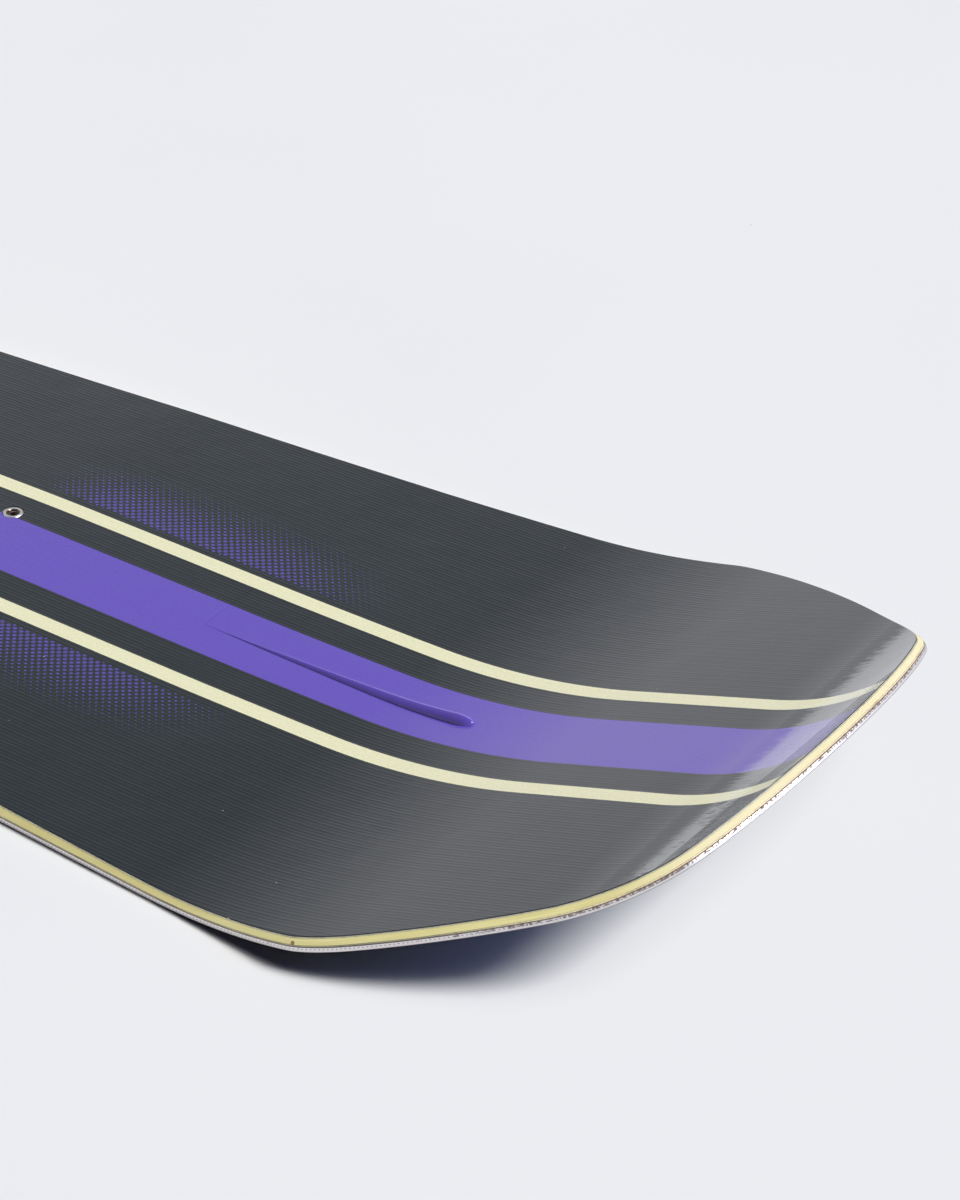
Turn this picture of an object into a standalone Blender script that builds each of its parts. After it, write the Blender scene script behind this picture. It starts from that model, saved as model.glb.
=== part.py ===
# Snowboard: a twin-tip sandwich board with a full wrap steel edge and an all-round sidewall.
# Metres, +Z up, +X to the nose, +Y to the left edge; the flat running base lies on Z = 0.
# Each layer is drawn flat, along the unrolled centreline, and is then bent up at nose and tail.
import math

import bmesh
import bpy

# Plan of the deck, the topsheet's own outline, for one quarter of the board
WAIST_HALF_WIDTH = 0.1183
WAIST_HANDLE = 0.314
WIDEST_AT = 0.5985
WIDEST_HALF_WIDTH = 0.149
WIDEST_HANDLE_BACK = 0.064
WIDEST_HANDLE_AHEAD = 0.0224
CORNER_AT = 0.7219
CORNER_HALF_WIDTH = 0.079
CORNER_ANGLE = 1.16
CORNER_HANDLE_BACK = 0.0325
CORNER_HANDLE_AHEAD = 0.0083
DECK_HALF_LENGTH = 0.736
TIP_HANDLE = 0.0415
SIDECUT_STEPS = 8
SHOULDER_STEPS = 9
TIP_STEPS = 5

# Side view: flat base, then two arcs with a straight run between them
KICK_START = 0.532
KICK_END = 0.620
KICK_RADIUS = 0.293
FLICK_START = 0.682
FLICK_END = 0.740
FLICK_RADIUS = 0.117
KICK_SEGMENTS = 5
FLICK_SEGMENTS = 5

# Thickness of the whole sandwich at distances from the middle, even between them and to the tips
THICK_END = 0.0053
TAPER = ((0.230, 0.0102), (0.340, 0.0094), (0.470, 0.0060), (0.520, THICK_END))

# Heights of the lower layers above the base's running face
BASE_TOP = 0.00125
EDGE_TOP = 0.0018
TAB_BOTTOM = 0.0013
TAB_TOP = 0.0017
RUBBER_BOTTOM = 0.00185
RUBBER_TOP = 0.00205
GLASS_RIM_BOTTOM = 0.0021
GLASS_RIM_TOP = 0.00255
GLASS_FLOOR_BOTTOM = 0.0013
GLASS_FLOOR_TOP = 0.00175
CORE_BOTTOM = 0.0018
SIDEWALL_BOTTOM = 0.0026

# Points above this height rise with the taper, and points below it keep their height
FIXED_BELOW = 0.0034

# Depths of the upper layers below the deck's surface
TOPSHEET_DEPTH = 0.0005
TOP_GLASS_START = 0.00055
TOP_GLASS_DEPTH = 0.0010
SIDEWALL_TOP_DEPTH = 0.00105
CORE_TOP_DEPTH = 0.00108
PATCH_START = 0.00108
PATCH_DEPTH = 0.00140
POCKET_DEPTH = 0.00145

# How far each outline lies inside the base's outer edge
DECK_INSET = 0.0018
TOP_GLASS_INSET = 0.0016
SIDEWALL_LOW_INSET = 0.0002
SIDEWALL_HIGH_INSET = 0.0015
SIDEWALL_INNER_INSET = 0.0090
GLASS_RIM_INSET = 0.0001
GLASS_STEP_INSET = 0.0085
EDGE_WIDTH = 0.0020
BASE_INSET = 0.0021
TAB_OVERLAP_INSET = 0.0015
TAB_INSET = 0.0070
RUBBER_OUTER_INSET = 0.0003
RUBBER_INNER_INSET = 0.0083
CORE_INSET = 0.0091
EDGE_JOINT = 0.0004

# Retaining tabs on the steel edge
TAB_PITCH = 0.055
TAB_LENGTH = 0.028

# Wood core, six glued strips
STRIP_INNER = 0.036
STRIP_MIDDLE = 0.072
STRIP_OUTER = 0.200
GLUE_LINE = 0.0001

# Threaded inserts for the bindings, two packs of two rows of six
STANCE_HALF = 0.280
INSERT_PITCH = 0.020
INSERTS_PER_ROW = 6
ROW_OFFSET = 0.020
BARREL_RADIUS = 0.00425
FLANGE_RADIUS = 0.0085
FLANGE_HEIGHT = 0.0010
INSERT_BOTTOM = 0.00185
THREAD_RADIUS = 0.00253
THREAD_FLOOR = 0.0007
INSERT_RECESS = 0.0001
DECK_HOLE_RADIUS = 0.0045
DECK_HOLE_STEPS = 10
INNER_HOLE_RADIUS = 0.0048
INNER_HOLE_STEPS = 8
FLANGE_HOLE_RADIUS = 0.0094
FLANGE_HOLE_TOP = 0.0030
INSERT_STEPS = 10

# Reinforcing patch over each insert pack
PATCH_HALF_LENGTH = 0.070
PATCH_HALF_WIDTH = 0.034
POCKET_MARGIN = 0.0003

# Tapered stiffening rod under the topsheet, and the rib that it raises
RIB_START = 0.445
RIB_END = 0.573
RIB_HALF_WIDTH = 0.0039
RIB_HEIGHT = 0.0025
RIB_ROOT_DEPTH = 0.0003
RIB_ROUND = 0.008
ROD_START = 0.460
ROD_END = 0.5723
ROD_HALF_WIDTH = 0.0032
ROD_HEIGHT = 0.0023
CAVITY_START = 0.456
CAVITY_END = 0.5726
CAVITY_HALF_WIDTH = 0.0034
CAVITY_HEIGHT = 0.0026
CAVITY_BASE_DEPTH = 0.0006
ROD_STEPS = 16
ROD_ROUND_STEPS = 5

# Modelling tolerances
WELD_DISTANCE = 0.000001
FLAT_ANGLE = 0.0005
CUT_CLEARANCE = 0.001
SMALLEST_TURN = 0.000000001
SMOOTH_DEGREES = 30


def clear_scene():
    for item in list(bpy.data.objects):
        bpy.data.objects.remove(item, do_unlink=True)


def new_collection(name):
    collection = bpy.data.collections.new(name)
    bpy.context.scene.collection.children.link(collection)
    return collection


def linear(red, green, blue):
    # An sRGB colour of 0 to 255, as the linear values that a shader takes
    channels = []
    for value in (red, green, blue):
        share = value / 255
        if share <= 0.04045:
            channels.append(share / 12.92)
        else:
            channels.append(((share + 0.055) / 1.055) ** 2.4)
    return (*channels, 1.0)


def make_material(name, colour, roughness, metallic=0.0):
    material = bpy.data.materials.new(name)
    material.use_nodes = True
    shader = material.node_tree.nodes["Principled BSDF"]
    shader.inputs["Base Color"].default_value = colour
    shader.inputs["Roughness"].default_value = roughness
    shader.inputs["Metallic"].default_value = metallic
    material.diffuse_color = colour
    return material


# Plan outlines

def bezier_samples(start, handle_a, handle_b, end, steps):
    # Points on a cubic curve with their tangents, without the end point
    samples = []
    for step in range(steps):
        t = step / steps
        u = 1 - t
        point = []
        tangent = []
        for a, b, c, d in zip(start, handle_a, handle_b, end):
            point.append(u ** 3 * a + 3 * u * u * t * b + 3 * u * t * t * c + t ** 3 * d)
            tangent.append(u * u * (b - a) + 2 * u * t * (c - b) + t * t * (d - c))
        samples.append((point, tangent))
    return samples


def deck_quarter():
    # From the waist to the centre of the nose, each point with its outward normal
    waist = (0.0, WAIST_HALF_WIDTH)
    widest = (WIDEST_AT, WIDEST_HALF_WIDTH)
    corner = (CORNER_AT, CORNER_HALF_WIDTH)
    ahead = (math.cos(CORNER_ANGLE), -math.sin(CORNER_ANGLE))
    tip = (DECK_HALF_LENGTH, 0.0)
    before_corner = (corner[0] - ahead[0] * CORNER_HANDLE_BACK, corner[1] - ahead[1] * CORNER_HANDLE_BACK)
    after_corner = (corner[0] + ahead[0] * CORNER_HANDLE_AHEAD, corner[1] + ahead[1] * CORNER_HANDLE_AHEAD)
    samples = bezier_samples(waist, (WAIST_HANDLE, WAIST_HALF_WIDTH),
                             (WIDEST_AT - WIDEST_HANDLE_BACK, WIDEST_HALF_WIDTH), widest, SIDECUT_STEPS)
    samples += bezier_samples(widest, (WIDEST_AT + WIDEST_HANDLE_AHEAD, WIDEST_HALF_WIDTH),
                              before_corner, corner, SHOULDER_STEPS)
    samples += bezier_samples(corner, after_corner, (DECK_HALF_LENGTH, TIP_HANDLE), tip, TIP_STEPS)
    quarter = []
    for point, tangent in samples:
        length = math.hypot(*tangent)
        quarter.append((point[0], point[1], -tangent[1] / length, tangent[0] / length))
    quarter.append((tip[0], tip[1], 1.0, 0.0))
    return quarter


def crossing(a, b, c, d):
    # Where two line segments cross, or nothing
    first = (b[0] - a[0], b[1] - a[1])
    second = (d[0] - c[0], d[1] - c[1])
    gap = (c[0] - a[0], c[1] - a[1])
    turn = first[0] * second[1] - first[1] * second[0]
    if turn == 0:
        return None
    share = (gap[0] * second[1] - gap[1] * second[0]) / turn
    other = (gap[0] * first[1] - gap[1] * first[0]) / turn
    if 0 < share < 1 and 0 < other < 1:
        return (a[0] + share * first[0], a[1] + share * first[1])
    return None


def shifted_quarter(inset):
    # A line inside a tight corner would loop over itself, so its loop shrinks to one point
    shift = DECK_INSET - inset
    points = [(x + nx * shift, y + ny * shift) for x, y, nx, ny in deck_quarter()]
    for start in range(len(points) - 1):
        for end in range(len(points) - 2, start + 1, -1):
            meeting = crossing(points[start], points[start + 1], points[end], points[end + 1])
            if meeting:
                points[start + 1:end + 1] = [meeting] * (end - start)
                break
    return points


def left_side(inset):
    # The left half of an outline, from the nose's centre round to the tail's centre
    quarter = shifted_quarter(inset)
    return quarter[::-1] + [(-x, y) for x, y in quarter[1:]]


def matched_outline(inset):
    # The whole outline, with the same number of points at every inset
    left = left_side(inset)
    return left + [(x, -y) for x, y in left[-2:0:-1]]


def without_repeats(loop):
    return [point for point, following in zip(loop, loop[1:] + loop[:1]) if point != following]


def outline(inset):
    return without_repeats(matched_outline(inset))


def half_ring(outer_inset, inner_inset, side):
    # A closed strip along one edge of the board; side is 1 for left and -1 for right
    outer = left_side(outer_inset)
    inner = left_side(inner_inset)
    loop = without_repeats(outer + inner[::-1])
    return [(x, side * max(y, EDGE_JOINT / 2)) for x, y in loop]


def cut_line(a, b, y):
    share = (y - a[1]) / (b[1] - a[1])
    return (a[0] + share * (b[0] - a[0]), y)


def keep_side(loop, y, sign):
    # The part of a closed loop where sign * (point's y - y) isn't negative
    kept = []
    for a, b in zip(loop, loop[1:] + loop[:1]):
        a_in = sign * (a[1] - y) >= 0
        b_in = sign * (b[1] - y) >= 0
        if a_in:
            kept.append(a)
        if a_in != b_in:
            kept.append(cut_line(a, b, y))
    return kept


def circle(x, y, radius, steps):
    points = []
    for step in range(steps):
        angle = 2 * math.pi * step / steps
        points.append((x + radius * math.cos(angle), y + radius * math.sin(angle)))
    return points


def insert_places(end):
    # Centres of one pack, row by row; end is 1 for the front pack and -1 for the rear one
    places = []
    for row_name, row in (("left", 1), ("right", -1)):
        for index in range(INSERTS_PER_ROW):
            along = STANCE_HALF + (index - (INSERTS_PER_ROW - 1) / 2) * INSERT_PITCH
            places.append((row_name, index + 1, end * along, row * ROW_OFFSET))
    return places


def insert_holes(radius, steps, ends=(1, -1)):
    return [circle(x, y, radius, steps) for end in ends for _, _, x, y in insert_places(end)]


def inner_holes(ends=(1, -1)):
    return insert_holes(INNER_HOLE_RADIUS, INNER_HOLE_STEPS, ends)


def tab_outlines(side):
    # Small rectangles that follow the edge, one every TAB_PITCH, with the joints left clear
    outer = left_side(TAB_OVERLAP_INSET)
    inner = left_side(TAB_INSET)
    travelled = [0.0]
    for a, b in zip(outer, outer[1:]):
        travelled.append(travelled[-1] + math.dist(a, b))
    count = int((travelled[-1] - TAB_PITCH) / TAB_PITCH)
    margin = (travelled[-1] - (count - 1) * TAB_PITCH) / 2
    tabs = []
    for index in range(count):
        middle = margin + index * TAB_PITCH
        reach = (-TAB_LENGTH / 2, 0.0, TAB_LENGTH / 2)
        tab = [point_at(outer, travelled, middle + place) for place in reach]
        tab += [point_at(inner, travelled, middle + place) for place in reversed(reach)]
        tabs.append([(x, side * y) for x, y in without_repeats(tab)])
    return tabs


def point_at(line, travelled, distance):
    for index in range(len(line) - 1):
        if distance <= travelled[index + 1]:
            break
    share = (distance - travelled[index]) / (travelled[index + 1] - travelled[index])
    a, b = line[index], line[index + 1]
    return (a[0] + share * (b[0] - a[0]), a[1] + share * (b[1] - a[1]))


# Side view

def thickness(along):
    distance = abs(along)
    if distance <= TAPER[0][0]:
        return TAPER[0][1]
    for a, b in zip(TAPER, TAPER[1:]):
        if distance <= b[0]:
            return a[1] + (distance - a[0]) / (b[0] - a[0]) * (b[1] - a[1])
    return THICK_END


def deck_angle(along):
    kick = min(max(along - KICK_START, 0.0), KICK_END - KICK_START) / KICK_RADIUS
    flick = max(along - FLICK_START, 0.0) / FLICK_RADIUS
    return kick + flick


def arc_step(start, angle_a, angle_b, length):
    # The end of an arc, or of a straight run where both angles agree
    middle = (angle_a + angle_b) / 2
    half_turn = (angle_b - angle_a) / 2
    chord = length if abs(half_turn) < SMALLEST_TURN else length * math.sin(half_turn) / half_turn
    return (start[0] + chord * math.cos(middle), start[1] + chord * math.sin(middle))


def make_stations():
    # Distances along the deck where it bends, each with its place, height and angle
    marks = [KICK_START + (KICK_END - KICK_START) * k / KICK_SEGMENTS for k in range(KICK_SEGMENTS + 1)]
    marks += [FLICK_START + (FLICK_END - FLICK_START) * k / FLICK_SEGMENTS for k in range(FLICK_SEGMENTS + 1)]
    place = (KICK_START, THICK_END)
    stations = [(marks[0], place[0], place[1], 0.0)]
    for a, b in zip(marks, marks[1:]):
        place = arc_step(place, deck_angle(a), deck_angle(b), b - a)
        stations.append((b, place[0], place[1], deck_angle(b)))
    return stations


STATIONS = make_stations()


def bend_point(along, height):
    # A flat point's place after the bend; the deck's surface is the line that keeps its length
    side = -1 if along < 0 else 1
    distance = abs(along)
    if distance <= KICK_START:
        return along, height
    for a, b in zip(STATIONS, STATIONS[1:]):
        if distance <= b[0]:
            break
    share = (distance - a[0]) / (b[0] - a[0])
    across_x = -(1 - share) * math.sin(a[3]) - share * math.sin(b[3])
    across_z = (1 - share) * math.cos(a[3]) + share * math.cos(b[3])
    x = (1 - share) * a[1] + share * b[1]
    z = (1 - share) * a[2] + share * b[2]
    return side * (x + across_x * (height - THICK_END)), z + across_z * (height - THICK_END)


# Flat solids and their bending

def evaluated_mesh(item):
    bpy.context.view_layer.update()
    depsgraph = bpy.context.evaluated_depsgraph_get()
    return bpy.data.meshes.new_from_object(item.evaluated_get(depsgraph), depsgraph=depsgraph)


def mesh_object(name, mesh, collection):
    mesh.name = name
    item = bpy.data.objects.new(name, mesh)
    collection.objects.link(item)
    return item


def flat_solid(name, loops, bottom, top, collection):
    # A plate from closed loops, where an inner loop is a hole
    curve = bpy.data.curves.new(name, "CURVE")
    curve.dimensions = "2D"
    curve.fill_mode = "BOTH"
    curve.extrude = (top - bottom) / 2
    for loop in loops:
        spline = curve.splines.new("POLY")
        spline.points.add(len(loop) - 1)
        for point, (x, y) in zip(spline.points, loop):
            point.co = (x, y, 0.0, 1.0)
        spline.use_cyclic_u = True
    drawing = bpy.data.objects.new(name, curve)
    drawing.location = (0.0, 0.0, (top + bottom) / 2)
    collection.objects.link(drawing)
    mesh = evaluated_mesh(drawing)
    mesh.transform(drawing.matrix_world)
    bpy.data.objects.remove(drawing, do_unlink=True)
    bm = bmesh.new()
    bm.from_mesh(mesh)
    bmesh.ops.remove_doubles(bm, verts=bm.verts, dist=WELD_DISTANCE)
    bmesh.ops.recalc_face_normals(bm, faces=bm.faces)
    bm.to_mesh(mesh)
    bm.free()
    return mesh_object(name, mesh, collection)


def merge_flat_faces(bm):
    # Joins the small triangles of each flat face, so that later cuts stay few
    bmesh.ops.dissolve_limit(bm, angle_limit=FLAT_ANGLE, verts=bm.verts, edges=bm.edges)


def combine(item, other, operation):
    # One Boolean step; the second object is used up
    other.hide_render = True
    other.display_type = "WIRE"
    modifier = item.modifiers.new(operation.title(), "BOOLEAN")
    modifier.operation = operation
    modifier.solver = "EXACT"
    modifier.object = other
    mesh = evaluated_mesh(item)
    item.modifiers.clear()
    item.data = mesh
    bpy.data.objects.remove(other, do_unlink=True)


def bend(item, merge=True):
    # Cuts the flat solid at every station, lifts its upper layers and bends it
    marks = [place for place, _ in TAPER] + [station[0] for station in STATIONS[:-1]]
    bm = bmesh.new()
    bm.from_mesh(item.data)
    if merge:
        merge_flat_faces(bm)
    for mark in marks:
        for along in (-mark, mark):
            geometry = bm.verts[:] + bm.edges[:] + bm.faces[:]
            bmesh.ops.bisect_plane(bm, geom=geometry, dist=WELD_DISTANCE,
                                   plane_co=(along, 0.0, 0.0), plane_no=(1.0, 0.0, 0.0))
    bmesh.ops.triangulate(bm, faces=bm.faces)
    for vertex in bm.verts:
        along, across, height = vertex.co
        if height > FIXED_BELOW:
            height += thickness(along) - THICK_END
        x, z = bend_point(along, height)
        vertex.co = (x, across, z)
    bmesh.ops.remove_doubles(bm, verts=bm.verts, dist=WELD_DISTANCE)
    bm.to_mesh(item.data)
    bm.free()


def finish(item, material, smooth=False):
    item.data.materials.clear()
    item.data.materials.append(material)
    if smooth:
        item.data.shade_smooth()
        item.data.set_sharp_from_angle(angle=math.radians(SMOOTH_DEGREES))


# Lower layers

def make_base(parts, material):
    base = flat_solid("base_sheet", [outline(BASE_INSET)], 0.0, BASE_TOP, parts)
    bend(base)
    finish(base, material)


def make_edge(parts, cutters, material, name, side):
    edge = flat_solid(name, [half_ring(0.0, EDGE_WIDTH, side)], 0.0, EDGE_TOP, parts)
    tabs = flat_solid("tabs", tab_outlines(side), TAB_BOTTOM, TAB_TOP, cutters)
    combine(edge, tabs, "UNION")
    bend(edge)
    finish(edge, material)


def make_rubber(parts, material, name, side):
    loop = half_ring(RUBBER_OUTER_INSET, RUBBER_INNER_INSET, side)
    rubber = flat_solid(name, [loop], RUBBER_BOTTOM, RUBBER_TOP, parts)
    bend(rubber)
    finish(rubber, material)


def make_bottom_glass(parts, cutters, material):
    # A tray: its floor lies on the base, and its rim steps up over the edge's tabs
    glass = flat_solid("bottom_fiberglass", [outline(GLASS_RIM_INSET)], GLASS_FLOOR_BOTTOM, GLASS_RIM_TOP, parts)
    inside = flat_solid("tray_inside", [outline(SIDEWALL_INNER_INSET)], GLASS_FLOOR_TOP,
                        GLASS_RIM_TOP + CUT_CLEARANCE, cutters)
    combine(glass, inside, "DIFFERENCE")
    below = flat_solid("below_rim", [outline(-CUT_CLEARANCE), outline(GLASS_STEP_INSET)],
                       GLASS_FLOOR_BOTTOM - CUT_CLEARANCE, GLASS_RIM_BOTTOM, cutters)
    combine(glass, below, "DIFFERENCE")
    bend(glass)
    finish(glass, material)


# Core and sidewall

def make_core_strip(parts, cutters, material, name, side, inner, outer):
    # One glued strip between two distances from the centreline
    loop = keep_side(outline(CORE_INSET), inner + GLUE_LINE / 2, 1)
    loop = keep_side(loop, outer - GLUE_LINE / 2, -1)
    loop = [(x, side * y) for x, y in loop]
    loops = [loop]
    drilled = inner < ROW_OFFSET < outer
    if drilled:
        loops += [hole for hole in inner_holes() if side * hole[0][1] > 0]
    strip = flat_solid(name, loops, CORE_BOTTOM, THICK_END - CORE_TOP_DEPTH, parts)
    if drilled:
        recesses = insert_holes(FLANGE_HOLE_RADIUS, INNER_HOLE_STEPS)
        recesses = [hole for hole in recesses if side * hole[0][1] > 0]
        below = flat_solid("flange_recesses", recesses, CORE_BOTTOM - CUT_CLEARANCE,
                           FLANGE_HOLE_TOP, cutters)
        combine(strip, below, "DIFFERENCE")
        pockets = [patch_outline(end, POCKET_MARGIN) for end in (1, -1)]
        above = flat_solid("patch_pockets", pockets, THICK_END - POCKET_DEPTH, THICK_END, cutters)
        combine(strip, above, "DIFFERENCE")
    bend(strip)
    finish(strip, material)


def make_sidewall(parts, material):
    # One ring round the whole board, bevelled outside: a line is swept round its four corners
    top = THICK_END - SIDEWALL_TOP_DEPTH
    corners = ((SIDEWALL_LOW_INSET, SIDEWALL_BOTTOM), (SIDEWALL_HIGH_INSET, top),
               (SIDEWALL_INNER_INSET, top), (SIDEWALL_INNER_INSET, SIDEWALL_BOTTOM))
    lines = [[(x, y, height) for x, y in matched_outline(inset)] for inset, height in corners]
    bm = bmesh.new()
    vertices = [bm.verts.new(point) for point in lines[0]]
    edges = [bm.edges.new(pair) for pair in zip(vertices, vertices[1:] + vertices[:1])]
    order = {vertex: index for index, vertex in enumerate(vertices)}
    for line in lines[1:] + lines[:1]:
        swept = bmesh.ops.extrude_edge_only(bm, edges=edges)["geom"]
        moved = {}
        for vertex in swept:
            if isinstance(vertex, bmesh.types.BMVert):
                neighbours = [edge.other_vert(vertex) for edge in vertex.link_edges]
                moved[vertex] = next(order[other] for other in neighbours if other in order)
        for vertex, index in moved.items():
            vertex.co = line[index]
        edges = [edge for edge in swept if isinstance(edge, bmesh.types.BMEdge)
                 and all(vertex in moved for vertex in edge.verts)]
        order = moved
    bmesh.ops.remove_doubles(bm, verts=bm.verts, dist=WELD_DISTANCE)
    bmesh.ops.recalc_face_normals(bm, faces=bm.faces)
    mesh = bpy.data.meshes.new("sidewall")
    bm.to_mesh(mesh)
    bm.free()
    sidewall = mesh_object("sidewall", mesh, parts)
    bend(sidewall, merge=False)
    finish(sidewall, material)


# Upper layers

def patch_outline(end, margin):
    half_length = PATCH_HALF_LENGTH + margin
    half_width = PATCH_HALF_WIDTH + margin
    middle = end * STANCE_HALF
    return [(middle - half_length, -half_width), (middle + half_length, -half_width),
            (middle + half_length, half_width), (middle - half_length, half_width)]


def make_patch(parts, material, name, end):
    loops = [patch_outline(end, 0.0)] + inner_holes((end,))
    patch = flat_solid(name, loops, THICK_END - PATCH_DEPTH, THICK_END - PATCH_START, parts)
    bend(patch)
    finish(patch, material)


def make_top_glass(parts, material):
    loops = [outline(TOP_GLASS_INSET)] + inner_holes()
    glass = flat_solid("top_fiberglass", loops, THICK_END - TOP_GLASS_DEPTH, THICK_END - TOP_GLASS_START, parts)
    bend(glass)
    finish(glass, material)


def spindle(name, start, end, half_width, height, base_depth, side, collection):
    # Half of a turned, pointed rod with a rounded wide end, its flat side down
    cone_end = end - RIB_ROUND
    profile = [(0.0, 0.0), (half_width, cone_end - start)]
    for step in range(1, ROD_ROUND_STEPS):
        turn = math.pi / 2 * step / ROD_ROUND_STEPS
        profile.append((half_width * math.cos(turn), cone_end - start + RIB_ROUND * math.sin(turn)))
    profile.append((0.0, end - start))
    profile.reverse()
    mesh = bpy.data.meshes.new(name)
    edges = [(index, index + 1) for index in range(len(profile) - 1)]
    mesh.from_pydata([(radius, 0.0, along) for radius, along in profile], edges, [])
    item = mesh_object(name, mesh, collection)
    screw = item.modifiers.new("Turn", "SCREW")
    screw.axis = "Z"
    screw.steps = ROD_STEPS
    screw.render_steps = ROD_STEPS
    screw.use_merge_vertices = True
    screw.merge_threshold = WELD_DISTANCE
    turned = evaluated_mesh(item)
    item.modifiers.clear()
    item.data = turned
    bm = bmesh.new()
    bm.from_mesh(turned)
    for vertex in bm.verts:
        x, y, along = vertex.co
        vertex.co = (side * (start + along), y, THICK_END - base_depth + x * height / half_width)
    geometry = bm.verts[:] + bm.edges[:] + bm.faces[:]
    bmesh.ops.bisect_plane(bm, geom=geometry, dist=WELD_DISTANCE, clear_inner=True,
                           plane_co=(0.0, 0.0, THICK_END - base_depth), plane_no=(0.0, 0.0, 1.0))
    bmesh.ops.holes_fill(bm, edges=[edge for edge in bm.edges if edge.is_boundary])
    bmesh.ops.recalc_face_normals(bm, faces=bm.faces)
    bm.to_mesh(turned)
    bm.free()
    return item


def make_rod(parts, material, name, side):
    rod = spindle(name, ROD_START, ROD_END, ROD_HALF_WIDTH, ROD_HEIGHT, TOPSHEET_DEPTH, side, parts)
    bend(rod)
    finish(rod, material, smooth=True)


def make_topsheet(parts, cutters, material):
    # The sheet is raised in a hollow rib over each stiffening rod
    loops = [outline(DECK_INSET)] + insert_holes(DECK_HOLE_RADIUS, DECK_HOLE_STEPS)
    sheet = flat_solid("topsheet", loops, THICK_END - TOPSHEET_DEPTH, THICK_END, parts)
    for side in (1, -1):
        rib = spindle("rib", RIB_START, RIB_END, RIB_HALF_WIDTH, RIB_HEIGHT + RIB_ROOT_DEPTH, RIB_ROOT_DEPTH,
                      side, cutters)
        combine(sheet, rib, "UNION")
        hollow = spindle("hollow", CAVITY_START, CAVITY_END, CAVITY_HALF_WIDTH, CAVITY_HEIGHT,
                         CAVITY_BASE_DEPTH, side, cutters)
        combine(sheet, hollow, "DIFFERENCE")
    bend(sheet)
    finish(sheet, material)


# Inserts

def insert_profile(height):
    # Thread floor, up the bore, over the rim and down the barrel and the flange
    return [(0.0, THREAD_FLOOR), (THREAD_RADIUS, THREAD_FLOOR), (THREAD_RADIUS, height),
            (BARREL_RADIUS, height), (BARREL_RADIUS, FLANGE_HEIGHT), (FLANGE_RADIUS, FLANGE_HEIGHT),
            (FLANGE_RADIUS, 0.0), (0.0, 0.0)]


def make_insert(parts, material, name, x, y):
    profile = insert_profile(thickness(x) - INSERT_RECESS - INSERT_BOTTOM)
    mesh = bpy.data.meshes.new(name)
    edges = [(index, index + 1) for index in range(len(profile) - 1)]
    mesh.from_pydata([(radius, 0.0, height) for radius, height in profile], edges, [])
    insert = mesh_object(name, mesh, parts)
    insert.location = (x, y, INSERT_BOTTOM)
    screw = insert.modifiers.new("Turn", "SCREW")
    screw.axis = "Z"
    screw.steps = INSERT_STEPS
    screw.render_steps = INSERT_STEPS
    screw.use_merge_vertices = True
    screw.merge_threshold = WELD_DISTANCE
    mesh.materials.append(material)


def main():
    clear_scene()
    parts = new_collection("snowboard")
    cutters = new_collection("snowboard_cutters")
    cutters.hide_render = True

    base_black = make_material("sintered_base", linear(38, 38, 42), 0.45)
    steel = make_material("edge_steel", linear(176, 170, 168), 0.32, 1.0)
    rubber = make_material("edge_rubber", linear(46, 44, 44), 0.85)
    glass = make_material("glass_laminate", linear(226, 222, 190), 0.4)
    wood = make_material("core_wood", linear(205, 178, 136), 0.7)
    wall = make_material("sidewall_plastic", linear(222, 212, 148), 0.45)
    patch = make_material("patch_laminate", linear(196, 198, 182), 0.5)
    rod = make_material("carbon_rod", linear(34, 34, 36), 0.35)
    deck = make_material("topsheet_film", linear(64, 68, 70), 0.38)
    insert = make_material("insert_steel", linear(196, 188, 178), 0.25, 1.0)

    make_base(parts, base_black)
    for name, side in (("left", 1), ("right", -1)):
        make_edge(parts, cutters, steel, "steel_edge_" + name, side)
        make_rubber(parts, rubber, "rubber_strip_" + name, side)
    make_bottom_glass(parts, cutters, glass)
    for name, side in (("left", 1), ("right", -1)):
        make_core_strip(parts, cutters, wood, f"core_strip_{name}_inner", side, 0.0, STRIP_INNER)
        make_core_strip(parts, cutters, wood, f"core_strip_{name}_middle", side, STRIP_INNER, STRIP_MIDDLE)
        make_core_strip(parts, cutters, wood, f"core_strip_{name}_outer", side, STRIP_MIDDLE, STRIP_OUTER)
    make_sidewall(parts, wall)
    for name, end in (("front", 1), ("rear", -1)):
        make_patch(parts, patch, "insert_patch_" + name, end)
    make_top_glass(parts, glass)
    for name, end in (("nose", 1), ("tail", -1)):
        make_rod(parts, rod, "stiffening_rod_" + name, end)
    make_topsheet(parts, cutters, deck)
    for pack, end in (("front", 1), ("rear", -1)):
        for row, index, x, y in insert_places(end):
            make_insert(parts, insert, f"insert_{pack}_{row}_{index}", x, y)


main()
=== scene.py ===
# A bare twin-tip snowboard on a pale table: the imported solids, dressed with smooth layers and worn finishes.
# The frame is the board's own: metres, nose towards +X, left edge towards +Y, running base on Z = 0.
import math

import bmesh
import bpy
from mathutils import Matrix, Vector


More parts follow.
